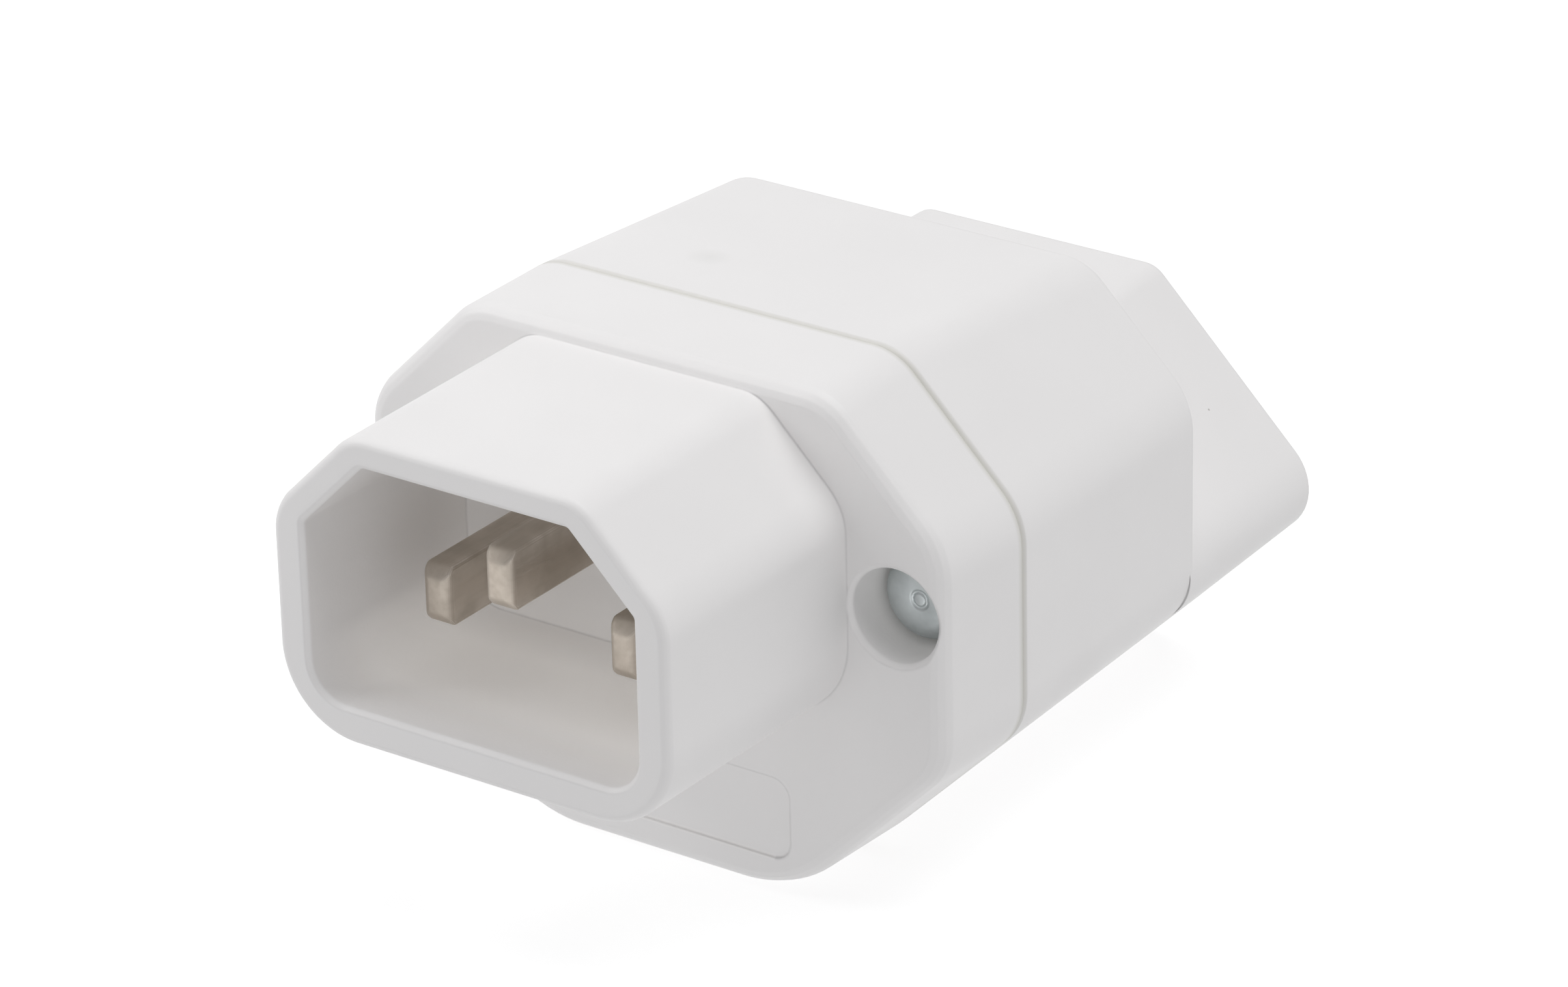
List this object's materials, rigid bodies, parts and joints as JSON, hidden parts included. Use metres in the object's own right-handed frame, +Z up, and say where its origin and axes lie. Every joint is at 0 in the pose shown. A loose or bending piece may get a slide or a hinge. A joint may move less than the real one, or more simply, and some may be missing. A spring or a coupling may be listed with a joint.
{
  "type": "plug adapter",
  "caption": "Moulded mains adapter with a shrouded flat-blade appliance inlet at the front and a hexagonal recessed round-pin socket outlet at the rear.",
  "frame": {"origin": "centre of the bounding box in X and Y, on the plane that the adapter rests on", "axes": "+X to the right as seen from the inlet side, +Y from the inlet mouth to the outlet, +Z up, towards the earth blade"},
  "size_m": [0.0444, 0.0624, 0.0347],
  "materials": {
    "cover_white": "satin moulded",
    "shell_white": "satin moulded",
    "blade_metal": "nickel plated",
    "contact_metal": "plain rolled",
    "rivet_metal": "plain",
    "spring_steel": "bright",
    "insulator": "plain moulded",
    "screw_steel": "zinc plated"
  },
  "bodies": {
    "root": {"front_cover": "cover_white", "rear_housing": "shell_white", "blade_line": "blade_metal", "blade_neutral": "blade_metal", "blade_earth": "blade_metal", "blade_carrier": "insulator", "contact_line": "contact_metal", "contact_neutral": "contact_metal", "contact_earth": "contact_metal", "strap_rivets": "rivet_metal", "spring_line": "spring_steel", "spring_neutral": "spring_steel", "spring_earth": "spring_steel", "contact_retainer": "insulator", "housing_screws": "screw_steel"}
  },
  "joints": []
}
